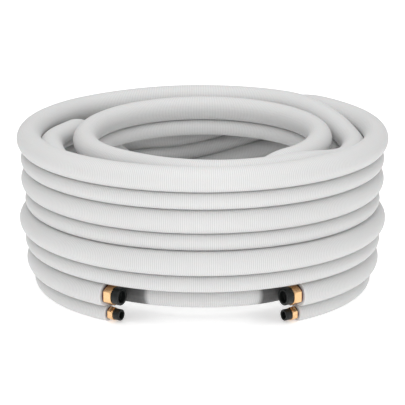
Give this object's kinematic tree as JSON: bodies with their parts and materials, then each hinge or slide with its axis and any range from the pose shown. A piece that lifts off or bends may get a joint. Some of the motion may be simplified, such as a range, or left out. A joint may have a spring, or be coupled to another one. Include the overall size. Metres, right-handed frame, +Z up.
{
  "type": "coiled refrigerant line set",
  "caption": "Coil of two copper refrigerant lines in white foam sleeves, wound together, with brass flare nuts and black plugs on the ends.",
  "frame": {"origin": "on the floor under the middle of the coil", "axes": "+Z is up along the coil's axis, the two ends of the lines are at the front on -Y, +X is to the right"},
  "size_m": [0.498, 0.4957, 0.2257],
  "materials": {
    "foam": "soft white foam with a fine embossed skin",
    "copper": "drawn copper",
    "brass": "bright turned brass",
    "plastic": "black moulded plastic"
  },
  "bodies": {
    "root": {"large_sleeve": "foam", "small_sleeve": "foam", "large_copper_tube_left": "copper", "large_copper_tube_right": "copper", "small_copper_tube_left": "copper", "small_copper_tube_right": "copper", "large_flare_nut_left": "brass", "large_flare_nut_right": "brass", "small_flare_nut_left": "brass", "small_flare_nut_right": "brass", "large_plug_left": "plastic", "large_plug_right": "plastic", "small_plug_left": "plastic", "small_plug_right": "plastic"}
  },
  "joints": []
}
